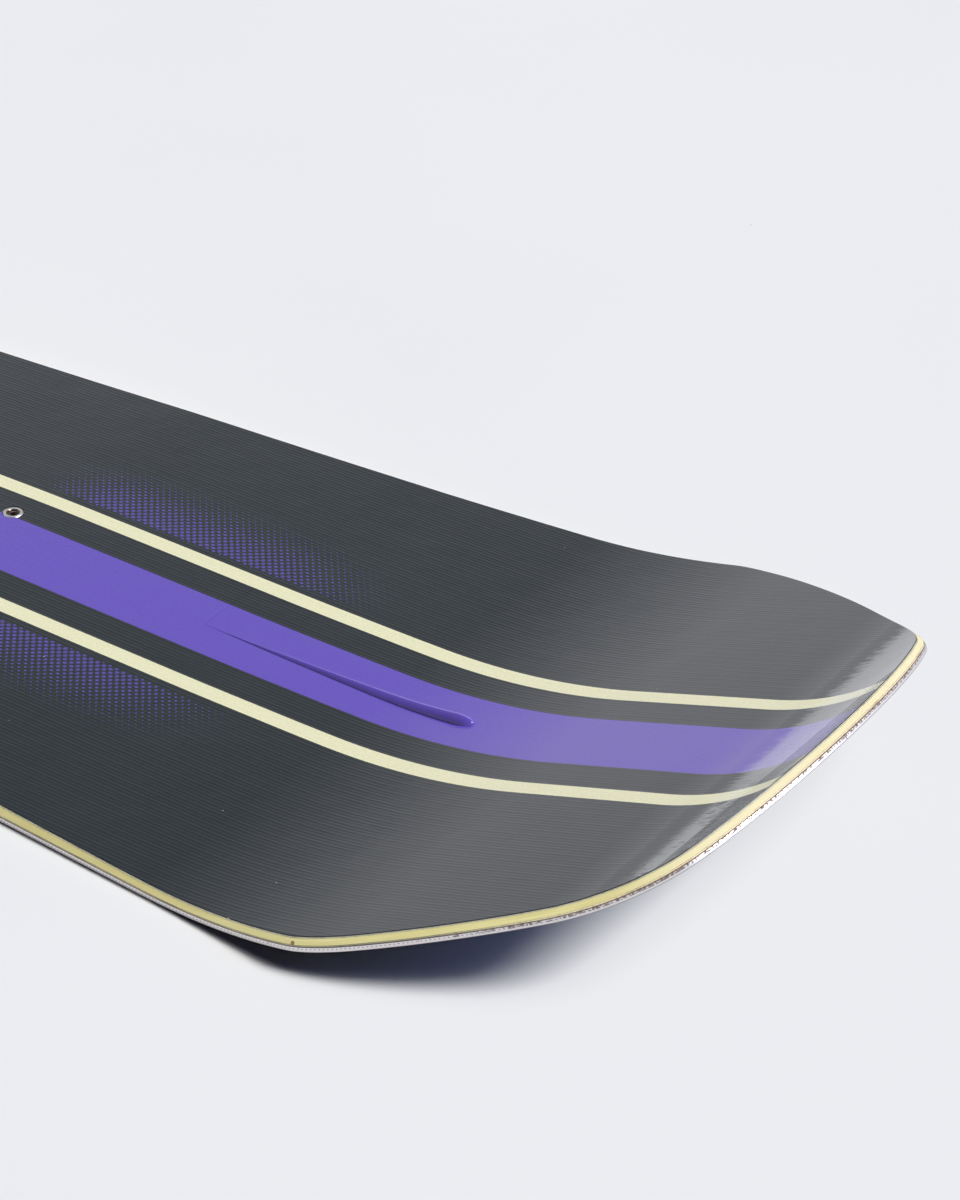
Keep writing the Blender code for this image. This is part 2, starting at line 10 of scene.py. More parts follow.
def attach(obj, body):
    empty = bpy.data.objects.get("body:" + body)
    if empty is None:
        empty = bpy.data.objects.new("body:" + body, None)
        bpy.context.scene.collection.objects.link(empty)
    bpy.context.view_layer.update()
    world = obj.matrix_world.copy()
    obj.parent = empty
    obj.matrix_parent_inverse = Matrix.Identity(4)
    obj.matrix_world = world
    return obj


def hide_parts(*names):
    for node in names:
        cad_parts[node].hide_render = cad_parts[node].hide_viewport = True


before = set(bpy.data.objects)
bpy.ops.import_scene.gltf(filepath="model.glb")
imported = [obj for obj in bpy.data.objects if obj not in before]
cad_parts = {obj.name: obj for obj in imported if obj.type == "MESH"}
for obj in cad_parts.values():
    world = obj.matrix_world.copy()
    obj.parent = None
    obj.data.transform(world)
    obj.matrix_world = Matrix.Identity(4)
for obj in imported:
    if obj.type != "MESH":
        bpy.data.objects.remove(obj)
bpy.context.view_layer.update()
print("frame loaded:", len(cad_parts), "nodes")


# the board's plan and side view, the same as its solids

board = {
    "waist": (0.0, 0.1183),
    "waistHandle": 0.314,
    "widest": (0.5985, 0.149),
    "widestBack": 0.064,
    "widestAhead": 0.0224,
    "corner": (0.7219, 0.079),
    "cornerAngle": 1.16,
    "cornerBack": 0.0325,
    "cornerAhead": 0.0083,
    "halfLength": 0.736,
    "tipHandle": 0.0415,
    "thinEnd": 0.0053,
    "taper": ((0.230, 0.0102), (0.340, 0.0094), (0.470, 0.0060), (0.520, 0.0053)),
    "taperBlend": 0.015,  # half the length over which the taper's slopes run into each other
    "fixedBelow": 0.0034,  # layers above this height rise with the taper
    "kick": (0.532, 0.620, 0.293),  # start, end and radius of the first bend
    "flick": (0.682, 0.117),  # start and radius of the second, up to the tip
    "steps": (70, 80, 50),  # along the sidecut, the shoulder and the tip
    "cutSpacing": (0.008, 0.002),  # between the cross cuts, on the flat and on the bends
    "cutLead": 0.020,  # the cuts start this far before the taper
    "deckInset": 0.0018,  # from the steel's outer face in to the topsheet's edge
}


def cubicPoint(a, b, c, d, t):
    s = 1 - t
    axes = list(zip(a, b, c, d))
    place = [s ** 3 * p + 3 * s * s * t * q + 3 * s * t * t * r + t ** 3 * w for p, q, r, w in axes]
    way = [s * s * (q - p) + 2 * s * t * (r - q) + t * t * (w - r) for p, q, r, w in axes]
    size = math.hypot(*way)
    return place[0], place[1], -way[1] / size, way[0] / size


def makeQuarter():
    # from the nose's centre back to the waist: place, outward normal and distance walked
    ahead = (math.cos(board["cornerAngle"]), -math.sin(board["cornerAngle"]))
    waist, widest, corner = board["waist"], board["widest"], board["corner"]
    tip = (board["halfLength"], 0.0)
    beforeCorner = tuple(c - a * board["cornerBack"] for c, a in zip(corner, ahead))
    afterCorner = tuple(c + a * board["cornerAhead"] for c, a in zip(corner, ahead))
    curves = (
        (waist, (board["waistHandle"], waist[1]), (widest[0] - board["widestBack"], widest[1]), widest),
        (widest, (widest[0] + board["widestAhead"], widest[1]), beforeCorner, corner),
        (corner, afterCorner, (board["halfLength"], board["tipHandle"]), tip),
    )
    points = []
    for curve, steps in zip(curves, board["steps"]):
        points += [cubicPoint(*curve, k / steps) for k in range(steps)]
    points.append((tip[0], tip[1], 1.0, 0.0))
    points.reverse()
    walked = [0.0]
    for a, b in zip(points, points[1:]):
        walked.append(walked[-1] + math.dist(a[:2], b[:2]))
    return [(*point, distance) for point, distance in zip(points, walked)]


quarter = makeQuarter()
ringSteps = 4 * (len(quarter) - 1)


def planPlace(x, y, shift):
    # a direction on the unit circle, turned into a place on the outline, shifted outwards
    place = math.atan2(abs(y), abs(x)) / (math.pi / 2) * (len(quarter) - 1)
    index = min(int(place), len(quarter) - 2)
    share = place - index
    u, v, nu, nv, walked = (a + (b - a) * share for a, b in zip(quarter[index], quarter[index + 1]))
    side = 1 if x >= 0 else -1
    hand = 1 if y >= 0 else -1
    return side * (u + nu * shift), hand * (v + nv * shift), walked


def thickness(along):
    # the sandwich's thickness, with its slopes blended
    marks = board["taper"]
    blend = board["taperBlend"]
    distance = abs(along)
    result = marks[0][1]
    slope = 0.0
    slopes = [(b[1] - a[1]) / (b[0] - a[0]) for a, b in zip(marks, marks[1:])] + [0.0]
    for (start, _), following in zip(marks, slopes):
        past = distance - start
        ramp = 0.0 if past < -blend else past if past > blend else (past + blend) ** 2 / (4 * blend)
        result += (following - slope) * ramp
        slope = following
    return result


def deckLine(distance):
    # the deck's surface in the side view: place, height and angle
    start, end, radius = board["kick"]
    flickStart, flickRadius = board["flick"]
    if distance <= start:
        return distance, board["thinEnd"], 0.0
    turn = (min(distance, end) - start) / radius
    x = start + radius * math.sin(turn)
    z = board["thinEnd"] + radius * (1 - math.cos(turn))
    if distance > end:
        run = min(distance, flickStart) - end
        x += run * math.cos(turn)
        z += run * math.sin(turn)
    if distance > flickStart:
        more = turn + (distance - flickStart) / flickRadius
        x += flickRadius * (math.sin(more) - math.sin(turn))
        z += flickRadius * (math.cos(turn) - math.cos(more))
        turn = more
    return x, z, turn


def bendPlace(u, y, height):
    # a place in the flat board, lifted with the taper and bent with nose and tail
    if height > board["fixedBelow"]:
        height += thickness(u) - board["thinEnd"]
    x, z, turn = deckLine(abs(u))
    over = height - board["thinEnd"]
    side = 1 if u >= 0 else -1
    return side * (x - math.sin(turn) * over), y, z + math.cos(turn) * over


# mesh helpers

sharpFrom = math.radians(35)  # edges that bend further than this are shaded sharp


def cutAcross(bm, marks, axis, keep=None):
    # straight cuts at places along one axis; keep picks the faces to cut
    normal = (1.0, 0.0, 0.0) if axis == "x" else (0.0, 1.0, 0.0)
    for mark in marks:
        faces = [face for face in bm.faces if keep is None or keep(face.calc_center_bounds())]
        parts = set(faces)
        for face in faces:
            parts.update(face.edges)
            parts.update(face.verts)
        bmesh.ops.bisect_plane(bm, geom=list(parts), dist=0.000001,
                               plane_co=tuple(mark * n for n in normal), plane_no=normal)


def bendMarks():
    # stations where the deck changes slope, at both ends
    start, end = board["taper"][0][0] - board["cutLead"], board["halfLength"]
    kickStart = board["kick"][0]
    wide, fine = board["cutSpacing"]
    marks = [start + wide * k for k in range(int((kickStart - start) / wide))]
    marks += [kickStart - 2 * fine + fine * k for k in range(int((end - kickStart) / fine) + 2)]
    return sorted([-m for m in marks] + marks)


def makePlate(shift, bottom, top, bevel=0.0):
    # a whole layer, cut round a circle and laid on the board's outline
    bm = bmesh.new()
    bmesh.ops.create_circle(bm, cap_ends=True, segments=ringSteps, radius=1.0)
    bmesh.ops.translate(bm, verts=bm.verts, vec=(0.0, 0.0, bottom))
    for vertex in bm.verts:
        x, y, _ = planPlace(vertex.co.x, vertex.co.y, shift)
        vertex.co.x, vertex.co.y = x, y
    lifted = bmesh.ops.extrude_face_region(bm, geom=bm.faces[:])["geom"]
    raised = [item for item in lifted if isinstance(item, bmesh.types.BMVert)]
    bmesh.ops.translate(bm, verts=raised, vec=(0.0, 0.0, top - bottom))
    bmesh.ops.recalc_face_normals(bm, faces=bm.faces)
    if bevel:
        lid = max(bm.faces, key=lambda face: face.calc_center_median().z)
        rim = lid.edges[:]
        # the inset keeps the lid flat beside its rounded rim
        bmesh.ops.inset_region(bm, faces=[lid], thickness=4 * bevel, use_even_offset=True)
        bmesh.ops.bevel(bm, geom=rim, offset=bevel, segments=2, profile=0.5, affect="EDGES", material=-1)
    return bm


def makeRing(profile, rounding, side=0, gap=0.0, closed=True):
    # a section of (shift, height) corners, rounded, turned through the ring and laid on the outline
    bm = bmesh.new()
    corners = [bm.verts.new((1.0 + shift, 0.0, height)) for shift, height in profile]
    following = corners[1:] + corners[:1] if closed else corners[1:]
    for a, b in zip(corners, following):
        bm.edges.new((a, b))
    if rounding:
        bmesh.ops.bevel(bm, geom=corners, offset=rounding, segments=3, profile=0.5,
                        affect="VERTICES", material=-1)
    shiftLayer = bm.verts.layers.float.new("shift")
    heightLayer = bm.verts.layers.float.new("height")
    for vertex in bm.verts:
        vertex[shiftLayer] = vertex.co.x - 1.0
        vertex[heightLayer] = vertex.co.z
    start = bm.verts[:] + bm.edges[:]
    if side:
        bmesh.ops.spin(bm, geom=start, cent=(0, 0, 0), axis=(0, 0, 1), angle=side * math.pi,
                       steps=ringSteps // 2)
        if closed:
            bmesh.ops.holes_fill(bm, edges=[edge for edge in bm.edges if edge.is_boundary], sides=0)
    else:
        bmesh.ops.spin(bm, geom=start, cent=(0, 0, 0), axis=(0, 0, 1), angle=2 * math.pi,
                       steps=ringSteps, use_merge=True)
    walkLayer = bm.verts.layers.float.new("walk")
    for vertex in bm.verts:
        x, y, walked = planPlace(vertex.co.x, vertex.co.y, vertex[shiftLayer])
        if side:
            y = side * max(abs(y), gap / 2)
        vertex.co = (x, y, vertex[heightLayer])
        vertex[walkLayer] = walked
    bmesh.ops.recalc_face_normals(bm, faces=bm.faces)
    return bm


def planMap(bm):
    # flat plan coordinates in metres, kept for the patterns before the board is bent
    layer = bm.loops.layers.uv.new("flatPlan")
    for face in bm.faces:
        for loop in face.loops:
            loop[layer].uv = loop.vert.co.xy


def rimMap(bm):
    # along the rim and up it, in metres; each quarter counts from its tip
    layer = bm.loops.layers.uv.new("flatPlan")
    walk = bm.verts.layers.float["walk"]
    for face in bm.faces:
        for loop in face.loops:
            loop[layer].uv = (loop.vert[walk], loop.vert.co.z)


def bendMesh(bm):
    for vertex in bm.verts:
        vertex.co = bendPlace(*vertex.co)


def makePiece(name, bm, materials):
    mesh = bpy.data.meshes.new(name)
    bmesh.ops.triangulate(bm, faces=[face for face in bm.faces if len(face.verts) > 4])
    bm.to_mesh(mesh)
    bm.free()
    for material in materials:
        mesh.materials.append(material)
    mesh.shade_smooth()
    mesh.set_sharp_from_angle(angle=sharpFrom)
    piece = bpy.data.objects.new(name, mesh)
    bpy.context.scene.collection.objects.link(piece)
    return piece


def mount(piece, slot, *nodes):
    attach(piece, "root")
    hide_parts(*nodes)


# node helpers

def tint(red, green, blue):
    # a screen colour of 0 to 255 as the values that a shader takes
    shares = [channel / 255 for channel in (red, green, blue)]
    return (*(s / 12.92 if s <= 0.04045 else ((s + 0.055) / 1.055) ** 2.4 for s in shares), 1.0)


def add(tree, kind, settings=None, inputs=None):
    item = tree.nodes.new("ShaderNode" + kind)
    for name, value in (settings or {}).items():
        setattr(item, name, value)
    for name, value in (inputs or {}).items():
        if isinstance(value, bpy.types.NodeSocket):
            tree.links.new(value, item.inputs[name])
        else:
            item.inputs[name].default_value = value
    return item


def calc(tree, operation, *values):
    item = add(tree, "Math", {"operation": operation}, dict(enumerate(values)))
    return item.outputs[0]


def noise(tree, vector, scale, detail=3.0, rough=0.5):
    item = add(tree, "TexNoise", None,
               {"Vector": vector, "Scale": scale, "Detail": detail, "Roughness": rough})
    return item.outputs["Fac"]


def between(tree, value, low, high, outLow=0.0, outHigh=1.0, soft=True):
    # a value's share of the way from low to high
    item = add(tree, "MapRange", {"interpolation_type": "SMOOTHSTEP" if soft else "LINEAR"},
               {"Value": value, "From Min": low, "From Max": high, "To Min": outLow, "To Max": outHigh})
    return item.outputs[0]


def mixColour(tree, share, a, b, blend="MIX"):
    item = add(tree, "Mix", {"data_type": "RGBA", "blend_type": blend}, {0: share, 6: a, 7: b})
    return item.outputs[2]


def scaled(tree, vector, x, y, z):
    item = add(tree, "Mapping", None, {"Vector": vector, "Scale": (x, y, z)})
    return item.outputs[0]


def startGroup(name, inputs, outputs):
    group = bpy.data.node_groups.new(name, "ShaderNodeTree")
    for label, kind, value in inputs:
        socket = group.interface.new_socket(label, in_out="INPUT", socket_type="NodeSocket" + kind)
        if value is not None:
            socket.default_value = value
    for label, kind in outputs:
        group.interface.new_socket(label, in_out="OUTPUT", socket_type="NodeSocket" + kind)
    return group, group.nodes.new("NodeGroupInput"), group.nodes.new("NodeGroupOutput")


def useGroup(tree, group, inputs):
    return add(tree, "Group", {"node_tree": group}, inputs).outputs


def makeSpecks():
    # scattered dots, such as dust; Share is the part of the cells that holds one
    inputs = (("Vector", "Vector", None), ("Scale", "Float", 100.0), ("Size", "Float", 0.1),
              ("Share", "Float", 0.2))
    group, start, end = startGroup("specks", inputs, (("Mask", "Float"),))
    cells = add(group, "TexVoronoi", None,
                {"Vector": start.outputs[0], "Scale": start.outputs[1], "Randomness": 1.0})
    split = add(group, "SeparateColor", None, {0: cells.outputs["Color"]})
    size = calc(group, "MULTIPLY", start.outputs[2], calc(group, "ADD", split.outputs[1], 0.3))
    dot = calc(group, "LESS_THAN", cells.outputs["Distance"], size)
    chosen = calc(group, "LESS_THAN", split.outputs[0], start.outputs[3])
    group.links.new(calc(group, "MULTIPLY", dot, chosen), end.inputs[0])
    return group


def makeBlotches():
    # soft patches where a noise passes a limit
    inputs = (("Vector", "Vector", None), ("Scale", "Float", 20.0), ("Low", "Float", 0.45),
              ("High", "Float", 0.65))
    group, start, end = startGroup("blotches", inputs, (("Mask", "Float"),))
    cloud = noise(group, start.outputs[0], start.outputs[1], 5.0, 0.6)
    group.links.new(between(group, cloud, start.outputs[2], start.outputs[3]), end.inputs[0])
    return group


def makeScratches():
    # fine lines that run along a piece
    inputs = (("Vector", "Vector", None), ("Across", "Float", 2500.0), ("Along", "Float", 40.0))
    group, start, end = startGroup("scratches", inputs, (("Height", "Float"),))
    across, along = start.outputs[1], start.outputs[2]
    stretch = add(group, "CombineXYZ", None, {0: along, 1: across, 2: across})
    spread = add(group, "VectorMath", {"operation": "MULTIPLY"}, {0: start.outputs[0], 1: stretch.outputs[0]})
    lines = noise(group, spread.outputs[0], 1.0, 4.0, 0.65)
    group.links.new(lines, end.inputs[0])
    return group


specks = makeSpecks()
blotches = makeBlotches()
scratches = makeScratches()


def startMaterial(name, **constants):
    material = bpy.data.materials.new(name)
    material.use_nodes = True
    tree = material.node_tree
    shader = tree.nodes["Principled BSDF"]
    for label, value in constants.items():
        shader.inputs[label.replace("_", " ")].default_value = value
    return material, tree, shader


def flatCoordinates(tree):
    item = add(tree, "UVMap", {"uv_map": "flatPlan"})
    return item.outputs[0], add(tree, "SeparateXYZ", None, {0: item.outputs[0]}).outputs


def objectCoordinates(tree):
    item = add(tree, "TexCoord")
    return item.outputs["Object"], add(tree, "SeparateXYZ", None, {0: item.outputs["Object"]}).outputs


def bump(tree, height, distance, normal=None):
    inputs = {"Height": height, "Distance": distance, "Strength": 1.0}
    if normal:
        inputs["Normal"] = normal
    return add(tree, "Bump", None, inputs).outputs[0]


print("helpers ready")


# topsheet: the printed deck film, with its two ribs and the insert holes

topsheet = {
    "inset": 0.0018,
    "depth": 0.0003,
    "edgeRound": 0.0001,
    "holeRadius": 0.0045,
    "holeFlare": 0.0002,  # the drill's top end is this much wider in radius
    "ribStart": 0.445,
    "ribShoulder": 0.565,
    "ribEnd": 0.573,
    "ribHalfWidth": 0.0034,
    "ribHeight": 0.003,
    "ribCrest": 1.4,  # 1 is a sharp crest, 2 a round one
    "ribFlank": 0.55,  # below 1 the flanks end steeply
    "ribLeast": 0.03,  # the rib's width at its point, as a share of its full width
    "ribMargin": 0.012,  # how far past the rib its cross cuts may reach
    "bandHalfWidth": 0.0173,
    "stripe": (0.0329, 0.04055),
    "inkSoft": 0.00008,
    "inkWander": 0.00012,
    "linePitch": 0.0018,
    "lineHeight": 0.00002,
    "dotPitch": 0.0025,
    "dotTurn": 0.9,  # radians, the lattice's turn from the board's length
    "dotRun": (0.31, 0.36, 0.43, 0.52),  # the fade starts, is full, and ends, along each half
    "dotReach": (0.0435, 0.094),  # and across it, outside each stripe
    "dotRise": 0.002,
    "dotSize": 0.40,
    "dotInk": 0.65,
    "glossFrom": (0.7015, 0.7105),  # the bent-up ends are glossier from here on
    "glossRagged": 0.018,
    "streakSide": (-0.045, -0.015),  # streaks break the gloss on the right, up to here
    "streakLoss": 0.8,
    "streakHeight": 0.00022,
    "rippleHeight": 0.0004,
    "tip": (0.690, 0.730),
    "easeFrom": 0.696,  # the film's shading lies a little flatter from here on
    "ease": 0.9,
    "ground": tint(44, 50, 54),
    "band": tint(107, 87, 194),
    "stripeColour": tint(240, 239, 202),
    "dust": tint(205, 206, 210),
    "roughness": 0.06,
}

insertPack = {
    "middle": 0.280,
    "pitch": 0.020,
    "perRow": 6,
    "row": 0.020,
    "bottom": 0.00185,
    "barrel": 0.00425,
    "flange": 0.0085,
    "flangeHeight": 0.0010,
    "bore": 0.00253,
    "threadDepth": 0.00028,
    "threadPitch": 0.0010,
    "floor": 0.0007,
    "recess": 0.0001,
    "chamfer": 0.00035,
    "bright": tint(238, 234, 232),
    "dull": tint(150, 138, 128),
    "rust": tint(72, 40, 26),
}


def insertPlaces():
    # name, node and place of every insert
    places = []
    for pack, end in (("front", 1), ("rear", -1)):
        for row, hand in (("left", 1), ("right", -1)):
            for k in range(insertPack["perRow"]):
                along = insertPack["middle"] + (k - (insertPack["perRow"] - 1) / 2) * insertPack["pitch"]
                places.append((f"insert{pack.title()}{row.title()}{k + 1}", f"insert_{pack}_{row}_{k + 1}",
                               end * along, hand * insertPack["row"]))
    return places


def drill(bm, radius, bottom, top, flare=0.0):
    # a hole through a flat plate at every insert, by a drill that stands out 1 mm at both ends
    mesh = bpy.data.meshes.new("flatPlate")
    bm.to_mesh(mesh)
    bm.free()
    plate = bpy.data.objects.new("flatPlate", mesh)
    drills = bmesh.new()
    for _, _, x, y in insertPlaces():
        place = Matrix.Translation((x, y, (bottom + top) / 2))
        bmesh.ops.create_cone(drills, cap_ends=True, segments=40, radius1=radius, radius2=radius + flare,
                              depth=top - bottom + 0.002, matrix=place)
    drillMesh = bpy.data.meshes.new("drills")
    drills.to_mesh(drillMesh)
    drills.free()
    tool = bpy.data.objects.new("drills", drillMesh)
    for item in (plate, tool):
        bpy.context.scene.collection.objects.link(item)
    cut = plate.modifiers.new("holes", "BOOLEAN")
    cut.operation = "DIFFERENCE"
    cut.solver = "EXACT"
    cut.object = tool
    bpy.context.view_layer.update()
    graph = bpy.context.evaluated_depsgraph_get()
    drilled = bmesh.new()
    drilled.from_object(plate, graph)
    for item in (plate, tool):
        bpy.data.objects.remove(item, do_unlink=True)
    return drilled


def ribShare(along):
    # the rib's size at a distance from the middle, as a share of its full size
    distance = abs(along)
    if distance <= topsheet["ribStart"] or distance >= topsheet["ribEnd"]:
        return 0.0
    if distance <= topsheet["ribShoulder"]:
        return (distance - topsheet["ribStart"]) / (topsheet["ribShoulder"] - topsheet["ribStart"])
    past = (distance - topsheet["ribShoulder"]) / (topsheet["ribEnd"] - topsheet["ribShoulder"])
    return math.sqrt(1 - past * past)


def ribMarks():
    start, shoulder, end = topsheet["ribStart"], topsheet["ribShoulder"], topsheet["ribEnd"]
    marks = [start + (shoulder - start) * k / 60 for k in range(61)]
    return marks + [shoulder + (end - shoulder) * math.sin(math.pi / 2 * k / 8) for k in range(1, 9)]


def raiseRibs(bm):
    # the lines beside the centreline close in towards the rib's point, and the film lifts over the rod
    half = topsheet["ribHalfWidth"]
    outer = half * 2
    for vertex in bm.verts:
        share = ribShare(vertex.co.x)
        distance = abs(vertex.co.y)
        inside = topsheet["ribStart"] - 0.00001 < abs(vertex.co.x) < topsheet["ribEnd"] + 0.00001
        if not inside or distance >= outer:
            continue
        share = max(share, topsheet["ribLeast"])
        if distance <= half:
            part = distance / half
            lift = topsheet["ribHeight"] * share * (1 - part ** topsheet["ribCrest"]) ** topsheet["ribFlank"]
            placed = distance * share
        else:
            lift = 0.0
            placed = half * share + (distance - half) * (outer - half * share) / (outer - half)
        vertex.co.y = math.copysign(placed, vertex.co.y)
        vertex.co.z += lift


def makeTopsheet(materials):
    top = board["thinEnd"]
    bottom = top - topsheet["depth"]
    bm = makePlate(board["deckInset"] - topsheet["inset"], bottom, top, topsheet["edgeRound"])
    cutAcross(bm, bendMarks(), "x")
    half = topsheet["ribHalfWidth"]
    lines = [half * math.sin(math.pi / 2 * k / 9) for k in range(10)] + [half * 1.3, half * 2]
    margin = topsheet["ribMargin"]
    for end in (1, -1):
        def near(place):
            return (topsheet["ribStart"] - margin < end * place.x < topsheet["ribEnd"] + margin
                    and abs(place.z - bottom) < 2 * topsheet["depth"])
        cutAcross(bm, [end * mark for mark in ribMarks()], "x", near)

        def onRib(place):
            return topsheet["ribStart"] < end * place.x < topsheet["ribEnd"]
        cutAcross(bm, sorted({-line for line in lines} | set(lines)), "y", onRib)
    bm = drill(bm, topsheet["holeRadius"], bottom, top, topsheet["holeFlare"])
    bm.normal_update()
    for face in bm.faces:
        if face.normal.z < 0.95:
            face.material_index = 1  # cut edges; the printed face is material 0
    raiseRibs(bm)
    planMap(bm)
    bendMesh(bm)
    return makePiece("deckFilm", bm, materials)


def printMasks(tree, flat, away):
    # where the band and the stripes are inked, with edges that wander a little
    wander = calc(tree, "SUBTRACT", noise(tree, flat, 900.0, 2.0), 0.5)
    edge = calc(tree, "ADD", away, calc(tree, "MULTIPLY", wander, topsheet["inkWander"]))
    soft = topsheet["inkSoft"]
    low, high = topsheet["stripe"]
    half = topsheet["bandHalfWidth"]
    stripe = calc(tree, "MULTIPLY", between(tree, edge, low - soft, low + soft),
                  between(tree, edge, high - soft, high + soft, 1.0, 0.0))
    return between(tree, edge, half - soft, half + soft, 1.0, 0.0), stripe


def fadingDots(tree, flat, onward, away):
    # a plain fade of round dots outside each stripe, the same on all four quarters
    pitch = topsheet["dotPitch"]
    turned = add(tree, "Mapping", None, {"Vector": flat, "Rotation": (0.0, 0.0, topsheet["dotTurn"]),
                                         "Scale": (1 / pitch, 1 / pitch, 1.0)})
    cells = add(tree, "TexVoronoi", {"voronoi_dimensions": "2D"},
                {"Vector": turned.outputs[0], "Scale": 1.0, "Randomness": 0.0})
    runStart, runFull, runFade, runEnd = topsheet["dotRun"]
    reachStart, reachEnd = topsheet["dotReach"]
    run = calc(tree, "MULTIPLY", between(tree, onward, runStart, runFull),
               between(tree, onward, runFade, runEnd, 1.0, 0.0))
    reach = calc(tree, "MULTIPLY", between(tree, away, reachStart, reachStart + topsheet["dotRise"]),
                 between(tree, away, reachStart, reachEnd, 1.0, 0.0))
    size = calc(tree, "MULTIPLY", calc(tree, "MULTIPLY", run, reach), topsheet["dotSize"])
    dots = between(tree, calc(tree, "SUBTRACT", size, cells.outputs["Distance"]), 0.0, 0.06)
    return calc(tree, "MULTIPLY", dots, topsheet["dotInk"])


def lengthwiseLines(tree, flat, across, inked):
    # every second line is stronger, and they fade in and out along the board
    phase = calc(tree, "MULTIPLY", across, 2 * math.pi / topsheet["linePitch"])
    drift = noise(tree, scaled(tree, flat, 8.0, 300.0, 1.0), 1.0, 2.0)
    phase = calc(tree, "ADD", phase, calc(tree, "MULTIPLY", drift, 1.2))
    fine = calc(tree, "COSINE", phase)
    coarse = calc(tree, "COSINE", calc(tree, "MULTIPLY", phase, 0.5))
    lines = calc(tree, "ADD", calc(tree, "MULTIPLY", fine, 0.72), calc(tree, "MULTIPLY", coarse, 0.28))
    fade = noise(tree, scaled(tree, flat, 25.0, 500.0, 1.0), 1.0, 3.0)
    lines = calc(tree, "MULTIPLY", lines, between(tree, fade, 0.2, 0.7, 0.4, 1.0))
    return calc(tree, "MULTIPLY", lines, between(tree, inked, 0.0, 1.0, 1.0, 0.3))


def tipGloss(tree, flat, onward, across, streaks):
    # the steep ends are glossier: the gloss starts raggedly, and streaks break it on the right
    ragged = calc(tree, "SUBTRACT", streaks, 0.5)
    shifted = calc(tree, "ADD", onward, calc(tree, "MULTIPLY", ragged, topsheet["glossRagged"]))
    gloss = between(tree, shifted, *topsheet["glossFrom"])
    worn = noise(tree, scaled(tree, flat, 60.0, 16.0, 1.0), 1.0, 2.0)
    worn = calc(tree, "ADD", worn, calc(tree, "MULTIPLY", ragged, 0.9))
    broken = calc(tree, "MULTIPLY", between(tree, worn, 0.46, 0.58),
                  between(tree, across, *topsheet["streakSide"], 1.0, 0.0))
    broken = calc(tree, "MULTIPLY", broken, topsheet["streakLoss"])
    return calc(tree, "MULTIPLY", gloss, calc(tree, "SUBTRACT", 1.0, broken))


def filmNormal(tree, flat, onward, streaks, lines):
    # slow ripples, an eased bend at the tip, streaks there, and the fine lines all over
    tip = between(tree, onward, *topsheet["tip"])
    ripple = noise(tree, flat, 65.0, 2.0, 0.4)
    ripple = calc(tree, "MULTIPLY", ripple, between(tree, tip, 0.0, 1.0, 0.25, 1.0))
    past = calc(tree, "MAXIMUM", calc(tree, "SUBTRACT", onward, topsheet["easeFrom"]), 0.0)
    eased = calc(tree, "MULTIPLY", calc(tree, "POWER", past, 1.5), -topsheet["ease"])
    normal = bump(tree, ripple, topsheet["rippleHeight"])
    normal = bump(tree, eased, 1.0, normal)
    normal = bump(tree, calc(tree, "MULTIPLY", streaks, tip), topsheet["streakHeight"], normal)
    return bump(tree, lines, topsheet["lineHeight"], normal)


def topsheetMaterial():
    material, tree, shader = startMaterial("printedDeckFilm", IOR=1.5, Coat_IOR=2.0, Coat_Roughness=0.035)
    flat, (along, across, _) = flatCoordinates(tree)
    onward = calc(tree, "ABSOLUTE", along)
    away = calc(tree, "ABSOLUTE", across)
    band, stripe = printMasks(tree, flat, away)
    lines = lengthwiseLines(tree, flat, across, calc(tree, "MAXIMUM", band, stripe))
    streaks = noise(tree, scaled(tree, flat, 130.0, 850.0, 1.0), 1.0, 3.0, 0.6)

    # a slightly mottled ground under the print, then the lines' shade, a fine grain and dust
    cloud = noise(tree, flat, 14.0, 4.0, 0.6)
    dark = (*(channel * 0.9 for channel in topsheet["ground"][:3]), 1.0)
    colour = mixColour(tree, between(tree, cloud, 0.3, 0.7), dark, topsheet["ground"])
    colour = mixColour(tree, fadingDots(tree, flat, onward, away), colour, topsheet["band"])
    colour = mixColour(tree, band, colour, topsheet["band"])
    colour = mixColour(tree, stripe, colour, topsheet["stripeColour"])
    grain = between(tree, noise(tree, flat, 800.0, 3.0, 0.6), 0.3, 0.7, 0.94, 1.06, soft=False)
    shade = calc(tree, "MULTIPLY", between(tree, lines, -1.0, 1.0, 0.92, 1.06, soft=False), grain)
    shade = add(tree, "CombineColor", None, {0: shade, 1: shade, 2: shade}).outputs[0]
    colour = mixColour(tree, 1.0, colour, shade, "MULTIPLY")
    dust = useGroup(tree, specks, {"Vector": flat, "Scale": 110.0, "Size": 0.03, "Share": 0.10})[0]
    colour = mixColour(tree, calc(tree, "MULTIPLY", dust, 0.7), colour, topsheet["dust"])
    tree.links.new(colour, shader.inputs["Base Color"])

    rub = useGroup(tree, blotches, {"Vector": flat, "Scale": 30.0, "Low": 0.42, "High": 0.68})[0]
    rough = calc(tree, "ADD", calc(tree, "MULTIPLY", rub, 0.05), topsheet["roughness"])
    rough = calc(tree, "ADD", rough, calc(tree, "MULTIPLY", dust, 0.3))
    tree.links.new(rough, shader.inputs["Roughness"])
    tree.links.new(tipGloss(tree, flat, onward, across, streaks), shader.inputs["Coat Weight"])
    tree.links.new(filmNormal(tree, flat, onward, streaks, lines), shader.inputs["Normal"])
    return material


